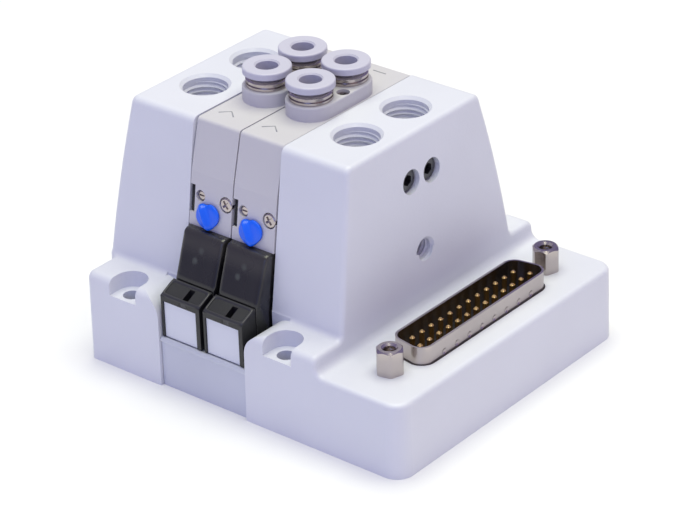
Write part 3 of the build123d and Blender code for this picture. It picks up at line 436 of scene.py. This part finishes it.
def cover_shell(name, left, right, size, material):
    """Smoked cover with a straight top, a leaning front and a rounded brow.

    Ring at height z: x = x_m + a c(cos v), y = y_m + b c(sin v), c as in rounded(). The
    front is cover_front below the step and leans back to cover_front_top above it. Near the
    top z = top - r + r sin q, while the front draws in by r (1 - cos q) and a by 0.4 of that.
    """
    r = size.cover_round
    low = size.cover_step - size.cover_skirt
    lean = (size.cover_front_top - size.cover_front) / (size.cover_top - size.cover_step)
    q = np.linspace(0, math.pi / 2, 9)[1:]
    straight = np.concatenate([
        np.linspace(low, size.cover_step, 4),
        np.linspace(size.cover_step, size.cover_top - r, 10)[1:],
    ])
    z = np.concatenate([straight, size.cover_top - r + r * np.sin(q)])
    draw = np.concatenate([np.zeros(len(straight)), r * (1 - np.cos(q))])
    front = size.cover_front + lean * np.clip(z - size.cover_step, 0, None) + draw
    v = np.linspace(0, 2 * math.pi, 96, endpoint=False)
    corner_x, corner_y = rounded(v, COVER_SQUARENESS)
    half = (right - left) / 2 - 0.4 * draw
    middle_y, half_y = (front + size.cover_back) / 2, (size.cover_back - front) / 2
    rings = np.stack([
        (left + right) / 2 + half[:, None] * corner_x,
        middle_y[:, None] + half_y[:, None] * corner_y,
        np.broadcast_to(z[:, None], (len(z), len(v))),
    ], -1)
    verts, faces = capped(rings)
    return add_piece(name, verts, faces, material)


def ledge_frame(name, left, right, size, material):
    """Rim round the sloping ledge, as a closed ring with a rounded top, in a lighter black that is a
    painted highlight.

    Path: c(v) as in rounded(), over the ledge's outline. Section across the path:
    s from -w / 2 to w / 2 and h(s) = rise (1 - (2 s / w)^4), with a flat underside at the
    sill; h is measured from the plane of the ledge.
    """
    w = size.ledge_rim
    v = np.linspace(0, 2 * math.pi, 96, endpoint=False)
    corner_x, corner_y = rounded(v, LEDGE_SQUARENESS)
    s = np.linspace(-w / 2, w / 2, 7)
    s = np.concatenate([[-w / 2], s, [w / 2]])
    h = size.ledge_rise * (1 - (2 * s / w) ** 4)
    h[0] = h[-1] = -size.ledge_sill
    half_x = (right - left) / 2 - w / 2 - s[:, None]
    half_y = (size.ledge_back - size.ledge_front) / 2 - w / 2 - s[:, None]
    y = (size.ledge_back + size.ledge_front) / 2 + half_y * corner_y
    slope = (size.ledge_back_top - size.ledge_front_top) / (size.ledge_back - size.ledge_front)
    z = size.ledge_front_top + slope * (y - size.ledge_front) + h[:, None]
    points = np.stack([(left + right) / 2 + half_x * corner_x, y, z], -1)
    verts, quads = grid_mesh(points, True, True)
    return add_piece(name, verts, quads.tolist(), material)


def notch_shade(name, corner, size, normal, material):
    """Painted shade: a dark piece in the notch beside a slice's small screw, standing in for the shade
    in its deep gap.

    P = C + a c(cos v) X + b c(sin v) U + h N, c as in rounded(), as wide and as tall as the
    notch, from its floor to 0.35 of its depth.
    """
    normal, side, up = face_axes(normal)
    v = np.linspace(0, 2 * math.pi, 48, endpoint=False)
    corner_x, corner_y = rounded(v, NOTCH_SQUARENESS)
    x, y = size.notch_width / 2 * corner_x, size.notch_height / 2 * corner_y
    levels = np.array([-1.0, -0.35])
    points = (
        np.asarray(corner) + (x[:, None] * side + y[:, None] * up)[None]
        + (levels * size.notch_depth)[:, None, None] * normal
    )
    verts, faces = capped(points)
    return add_piece(name, verts, faces, material)


def knob_outline(v):
    """Radius of the knob's heart, of width 1: two lobes above and a point below.

    r(v) = 0.44 + 0.035 cos 2 (v - 0.6) - 0.05 exp(-((v - 1.75) / 0.22)^2)
    + 0.07 exp(-((v - 4.85) / 0.45)^2) + 0.06 exp(-((v - 2.35) / 0.35)^2), v from the right.
    The peaks are, in that order, the dip between the lobes, the point and the left lobe.
    """
    def peak(place, spread):
        return np.exp(-((v - place) / spread) ** 2)
    return (
        0.44 + 0.035 * np.cos(2 * (v - 0.6)) - 0.05 * peak(1.75, 0.22)
        + 0.07 * peak(4.85, 0.45) + 0.06 * peak(2.35, 0.35)
    )


def override_knob(name, origin, normal, size, material, body):
    """Heart-shaped override knob with a slanting rib, on a short stem.

    P(k, v) = O + C + s_k r(v) w (X cos v + tall U sin v) + h N. On top
    h = lift + rise (edge + (dome + rib G) (1 - s^4)^(1/2)), where G = exp(-(d / spread)^2)
    and d is the distance from the rib's line. Below, the rings close on the stem.
    """
    normal, side, up = face_axes(normal)
    v = np.linspace(0, 2 * math.pi, 72, endpoint=False)
    r = knob_outline(v)
    share = np.sin(np.linspace(0.012, math.pi / 2, 22))
    flat_x, flat_y = share[:, None] * r * np.cos(v), share[:, None] * r * np.sin(v)
    away = (flat_x + RIB_OFFSET) * math.sin(RIB_SLANT) - flat_y * math.cos(RIB_SLANT)
    rib = np.exp(-(away / RIB_SPREAD) ** 2)
    dome = np.sqrt(np.clip(1 - share ** 4, 0, 1))[:, None]
    rise = size.knob_rise - size.knob_lift
    height = size.knob_lift + rise * (KNOB_EDGE + dome * (KNOB_DOME + KNOB_RIB * rib))
    heart_x = size.knob_width * flat_x + size.knob_x
    heart_y = KNOB_TALL * size.knob_width * flat_y + size.knob_y
    rows = [(heart_x, heart_y, height)]
    wide = (heart_x[-1:], heart_y[-1:])
    rows.append((*wide, np.full((1, len(v)), size.knob_lift)))
    stem = size.knob_stem
    for level in (size.knob_lift, KNOB_STEM_END):
        rows.append((stem * np.cos(v)[None], stem * np.sin(v)[None], np.full((1, len(v)), level)))
    x, y, h = (np.concatenate([row[k] for row in rows]) for k in range(3))
    points = np.asarray(origin) + x[..., None] * side + y[..., None] * up + h[..., None] * normal
    verts, faces = capped(points)
    return add_piece(name, verts, faces, material, body)


def thread(name, mouth, into, radius, ridge, pitch, reach, material):
    """Helical ridge in a round hole: a closed tube with a triangular section.

    P(t, k) = mouth + r_k (a cos t + b sin t) + (pitch t / 2 pi + h_k) into, where a, b and
    into are square to each other. The section's corners are (wall, pitch (1/2 - foot e)),
    (wall - ridge e, pitch / 2) and (wall, pitch (1/2 + foot e)), where wall is just outside
    the radius. The ease e falls at both ends, so that the ridge tapers into the wall.
    """
    into = np.array(into, float)
    first = np.array([into[2], into[0], into[1]])
    second = np.cross(into, first)
    turns = reach / pitch
    t = np.linspace(0, 2 * math.pi * turns, int(48 * turns))
    ease = np.clip(np.minimum(t, t[-1] - t) / math.pi, THREAD_BLUNT, 1.0)
    wall = radius + THREAD_INTO_WALL
    foot = THREAD_HALF_FOOT * ease
    section_r = np.stack([np.full_like(t, wall), wall - ridge * ease, np.full_like(t, wall)], 1)
    section_h = pitch * np.stack([0.5 - foot, np.full_like(t, 0.5), 0.5 + foot], 1)
    across = np.cos(t)[:, None] * first + np.sin(t)[:, None] * second
    down = pitch * t[:, None] / (2 * math.pi) + section_h
    points = np.asarray(mouth) + section_r[..., None] * across[:, None] + down[..., None] * into
    verts, quads = grid_mesh(points, False, True)
    last = len(verts) - 3
    faces = quads.tolist() + [[0, 1, 2], [last + 2, last + 1, last]]
    made = add_piece(name, verts, faces, material)
    made.data.shade_flat()


def stroke(name, path, z, size, material):
    """Flat mark along a path: a thin closed strip of one width, half sunk at a level."""
    path = np.asarray(path, float)
    along = np.gradient(path, axis=0)
    along /= np.linalg.norm(along, axis=1)[:, None]
    side = np.stack([-along[:, 1], along[:, 0]], 1) * size.width / 2
    ring = np.stack([
        np.column_stack([path + across * side, np.full(len(path), z + up * size.rise)])
        for across, up in ((1, 1), (-1, 1), (-1, -1), (1, -1))
    ], 1)
    verts, quads = grid_mesh(ring, False, True)
    last = len(verts) - 4
    faces = quads.tolist() + [[0, 1, 2, 3], [last + 3, last + 2, last + 1, last]]
    return add_piece(name, verts, faces, material)


def override_joints():
    """Joints of the manual overrides, by slice."""
    joints = {j["name"]: j for j in frame["record"]["behaviour"]["joints"]}
    return {tag: joints[f"override_turn_{tag}"] for tag in SLICES}


# ---------------------------------------------------------------- operators
class Builder:
    """What the operators of this add-on share."""
    bl_options = {"REGISTER", "UNDO"}

    def materials(self, context):
        """Finishes from the scene's settings."""
        return all_finishes(context.scene.island_finish)


class ISLAND_OT_finishes(Builder, bpy.types.Operator):
    """Give every node its finish"""
    bl_idname = "island.finishes"
    bl_label = "Finishes"

    def execute(self, context):
        """Assign a material by the record's slot."""
        made = self.materials(context)
        for part in frame["record"]["subparts"]:
            target = frame["nodes"][part["node"]]
            target.data.materials.clear()
            target.data.materials.append(made[part["material_slot"]])
        return {"FINISHED"}


class ISLAND_OT_port_threads(Builder, bpy.types.Operator):
    """Add the thread ridges of the four ports"""
    bl_idname = "island.port_threads"
    bl_label = "Port threads"

    def execute(self, context):
        """One helix in each port, placed by the record's mounts."""
        size = context.scene.island_thread
        made = self.materials(context)
        for mount in frame["record"]["mounts"]:
            if not mount["name"].startswith("port_"):
                continue
            x, y, _ = mount["pos_m"]
            side = "left_end_plate" if x < 0 else "right_end_plate"
            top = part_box(side)[1][2] - size.start
            thread(
                f"thread_{mount['name']}", (x, y, top), (0, 0, -1), size.port_radius,
                size.depth, size.pitch, size.reach, made["casting"],
            )
        return {"FINISHED"}


class ISLAND_OT_fine_threads(Builder, bpy.types.Operator):
    """Add the threads of the two jackscrews and of the side hole"""
    bl_idname = "island.fine_threads"
    bl_label = "Fine threads"

    def execute(self, context):
        """One fine helix in each jackscrew and one in the side hole."""
        size = context.scene.island_thread
        made = self.materials(context)
        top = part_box("jackscrews")[1][2] - size.fine_pitch
        for mount in frame["record"]["mounts"]:
            x, y, z = mount["pos_m"]
            if mount["name"].startswith("jackscrew_"):
                thread(
                    f"thread_{mount['name']}", (x, y, top), (0, 0, -1), size.fine_radius,
                    size.depth / 2, size.fine_pitch, size.fine_reach, made["nickel"],
                )
            if mount["name"] == "side_hole":
                mouth = x + mount["dims"]["length_mm"] / 2000 - size.side_start
                thread(
                    "thread_side_hole", (mouth, y, z), (-1, 0, 0),
                    mount["dims"]["r_mm"] / 1000, size.depth / 1.3, size.side_pitch,
                    size.side_reach, made["casting"],
                )
        return {"FINISHED"}


class ISLAND_OT_covers(Builder, bpy.types.Operator):
    """Put the smoked covers in place of the plain ones"""
    bl_idname = "island.covers"
    bl_label = "Smoked covers"

    def execute(self, context):
        """One cover for each slice, as wide as the node that it replaces."""
        made = self.materials(context)
        size = context.scene.island_pilot
        for tag in SLICES:
            plain = f"pilot_cover_{tag}"
            low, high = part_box(plain)
            cover = cover_shell(f"cover_shell_{tag}", low[0], high[0], size, made["smoked"])
            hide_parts(plain)
        return {"FINISHED"}


class ISLAND_OT_ledges(Builder, bpy.types.Operator):
    """Add the rims round the connector ledges, in a lighter black that is a painted highlight"""
    bl_idname = "island.ledges"
    bl_label = "Ledge rims"

    def execute(self, context):
        """One rim on each connector housing, its lighter black a painted highlight."""
        made = self.materials(context)
        size = context.scene.island_pilot
        for tag in SLICES:
            low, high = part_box(f"connector_housing_{tag}")
            # painted highlight: the rim finish is a lighter copy of the housing's black plastic
            ledge_frame(f"ledge_rim_{tag}", low[0], high[0], size, made["rim"])
        return {"FINISHED"}


class ISLAND_OT_knobs(Builder, bpy.types.Operator):
    """Put the heart-shaped knobs in place of the plain override levers"""
    bl_idname = "island.knobs"
    bl_label = "Override knobs"

    def execute(self, context):
        """One knob on each override's body, about its joint's axis."""
        made = self.materials(context)
        size = context.scene.island_pilot
        for tag, turn in override_joints().items():
            knob = override_knob(
                f"override_knob_{tag}", turn["pos_m"], turn["axis"], size, made["blue"],
                turn["child"],
            )
            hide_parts(f"override_{tag}")
        return {"FINISHED"}


class ISLAND_OT_notch_shades(Builder, bpy.types.Operator):
    """Add dark pieces in the notches as painted shade"""
    bl_idname = "island.seal_edges"
    # painted shade: dark pieces in the notches
    bl_label = "Seal edges"

    def execute(self, context):
        """One dark piece of painted shade beside each slice's small screw."""
        made = self.materials(context)
        size = context.scene.island_pilot
        for tag, turn in override_joints().items():
            normal = Vector(turn["axis"])
            up = normal.cross(Vector((1, 0, 0)))
            place = Vector(turn["pos_m"]) + up * size.notch_rise
            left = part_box(f"valve_body_{tag}")[0][0]
            place.x = left + size.notch_width / 2 + size.notch_gap
            # painted shade: a dark piece in the seal finish stands in for the shade deep in the notch
            notch_shade(f"notch_shade_{tag}", place, size, normal, made["seal"])
        return {"FINISHED"}


class ISLAND_OT_marks(Builder, bpy.types.Operator):
    """Add the plain moulded marks on the top faces"""
    bl_idname = "island.marks"
    bl_label = "Moulded marks"

    def execute(self, context):
        """A chevron on each port block and a short line at the rear of one."""
        made = self.materials(context)
        size = context.scene.island_mark
        for tag in SLICES:
            low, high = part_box(f"port_block_{tag}")
            level = high[2] - size.below_boss
            tip = np.array([low[0] + size.chevron_x, size.chevron_y])
            ends = [(side * size.chevron_half, -size.chevron_drop) for side in (-1, 1)]
            path = [tip + ends[0], tip, tip + ends[1]]
            stroke(f"chevron_{tag}", path, level, size, made["mark"])
        start = low[0] + size.line_x
        path = [(start + share * size.line_length, size.line_y) for share in (0, 0.5, 1)]
        stroke("rear_line", path, level, size, made["mark"])
        return {"FINISHED"}


class ISLAND_OT_stage(Builder, bpy.types.Operator):
    """Add the floor, the lights and the camera"""
    bl_idname = "island.stage"
    bl_label = "Stage"

    def execute(self, context):
        """Pale floor, soft lights and one camera."""
        size = context.scene.island_stage
        self.floor(size)
        self.lights()
        self.surroundings(context, size)
        self.camera(context, size)
        return {"FINISHED"}

    def floor(self, size):
        """Flat square floor, 3 m a side."""
        across = np.linspace(-1.5, 1.5, 7)
        x, y = np.meshgrid(across, across, indexing="ij")
        points = np.stack([x, y, np.zeros_like(x)], -1)
        verts, quads = grid_mesh(points, False, False)
        mesh = bpy.data.meshes.new("studio_floor")
        mesh.from_pydata(verts.tolist(), [], quads.tolist())
        made = bpy.data.objects.new("studio_floor", mesh)
        bpy.context.scene.collection.objects.link(made)
        paper = bpy.data.materials.new("studio_floor")
        paper.use_nodes = True
        shader = paper.node_tree.nodes["Principled BSDF"]
        shader.inputs["Base Color"].default_value = (*size.floor, 1)
        shader.inputs["Roughness"].default_value = 0.9
        made.data.materials.append(paper)

    def lights(self):
        """A wide top light, a low blue fill before the front and a faint warm one beside."""
        for name, place, side, power, tint in (
            ("top_light", (0.0, 0.1, 1.1), 1.0, 14.1, (0.97, 1.0, 0.76)),
            ("front_light", (0.35, -1.0, 0.45), 0.6, 1.6, (0.30, 0.44, 1.0)),
            ("side_light", (0.95, -0.15, 0.45), 0.7, 0.6, (1.0, 0.72, 0.50)),
        ):
            lamp = bpy.data.lights.new(name, "AREA")
            lamp.shape = "SQUARE"
            lamp.size = side
            lamp.energy = power
            lamp.color = tint
            made = bpy.data.objects.new(name, lamp)
            made.location = place
            aim = Vector((0, 0, 0.03)) - Vector(place)
            made.rotation_mode = "QUATERNION"
            made.rotation_quaternion = aim.to_track_quat("-Z", "Y")
            bpy.context.scene.collection.objects.link(made)

    def surroundings(self, context, size):
        """Even surroundings of one tint."""
        world = bpy.data.worlds.new("studio")
        world.use_nodes = True
        sky = world.node_tree.nodes["Background"]
        sky.inputs["Color"].default_value = (*size.sky_tint, 1)
        sky.inputs["Strength"].default_value = size.sky
        context.scene.world = world
        context.scene.view_settings.view_transform = "Standard"

    def camera(self, context, size):
        """Camera from its heading, height and roll."""
        azimuth, elevation, roll = (
            math.radians(a) for a in (size.azimuth, size.elevation, size.roll)
        )
        ahead = Vector((
            -math.sin(azimuth) * math.cos(elevation),
            math.cos(azimuth) * math.cos(elevation), -math.sin(elevation),
        ))
        level = Vector((math.cos(azimuth), math.sin(azimuth), 0))
        upright = level.cross(ahead)
        right = level * math.cos(roll) + upright * math.sin(roll)
        up = upright * math.cos(roll) - level * math.sin(roll)
        lens = bpy.data.cameras.new("camera")
        lens.lens = size.lens
        lens.sensor_width = 36
        lens.clip_start = 0.01
        made = bpy.data.objects.new("camera", lens)
        turn = Matrix((right, up, -ahead)).transposed().to_4x4()
        made.matrix_world = Matrix.Translation(Vector(size.place)) @ turn
        context.scene.collection.objects.link(made)
        context.scene.camera = made


class ISLAND_PT_panel(bpy.types.Panel):
    """Panel of the valve island in the sidebar"""
    bl_label = "Valve island"
    bl_space_type = "VIEW_3D"
    bl_region_type = "UI"
    bl_category = "Island"

    def draw(self, context):
        """One button for each operator, then the settings."""
        for operator in OPERATORS:
            self.layout.operator(operator.bl_idname)
        for name in GROUPS:
            group = getattr(context.scene, name)
            box = self.layout.box()
            for key in group.__annotations__:
                box.prop(group, key)


OPERATORS = (
    ISLAND_OT_finishes, ISLAND_OT_covers, ISLAND_OT_ledges, ISLAND_OT_knobs,
    ISLAND_OT_notch_shades, ISLAND_OT_port_threads, ISLAND_OT_fine_threads, ISLAND_OT_marks,
    ISLAND_OT_stage,
)
GROUPS = {
    "island_finish": ISLAND_PG_finish, "island_thread": ISLAND_PG_thread,
    "island_pilot": ISLAND_PG_pilot, "island_mark": ISLAND_PG_mark,
    "island_stage": ISLAND_PG_stage,
}
CLASSES = (*GROUPS.values(), *OPERATORS, ISLAND_PT_panel)


def register():
    """Register the classes and the scene's settings."""
    for entry in CLASSES:
        bpy.utils.register_class(entry)
    for name, group in GROUPS.items():
        setattr(bpy.types.Scene, name, bpy.props.PointerProperty(type=group))


def unregister():
    """Take the classes and the settings away again."""
    for name in GROUPS:
        delattr(bpy.types.Scene, name)
    for entry in reversed(CLASSES):
        bpy.utils.unregister_class(entry)


def main():
    """Build the pieces in order."""
    global frame
    register()
    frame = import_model()
    for operator in OPERATORS:
        group, name = operator.bl_idname.split(".")
        getattr(getattr(bpy.ops, group), name)()


if __name__ == "__main__":
    main()
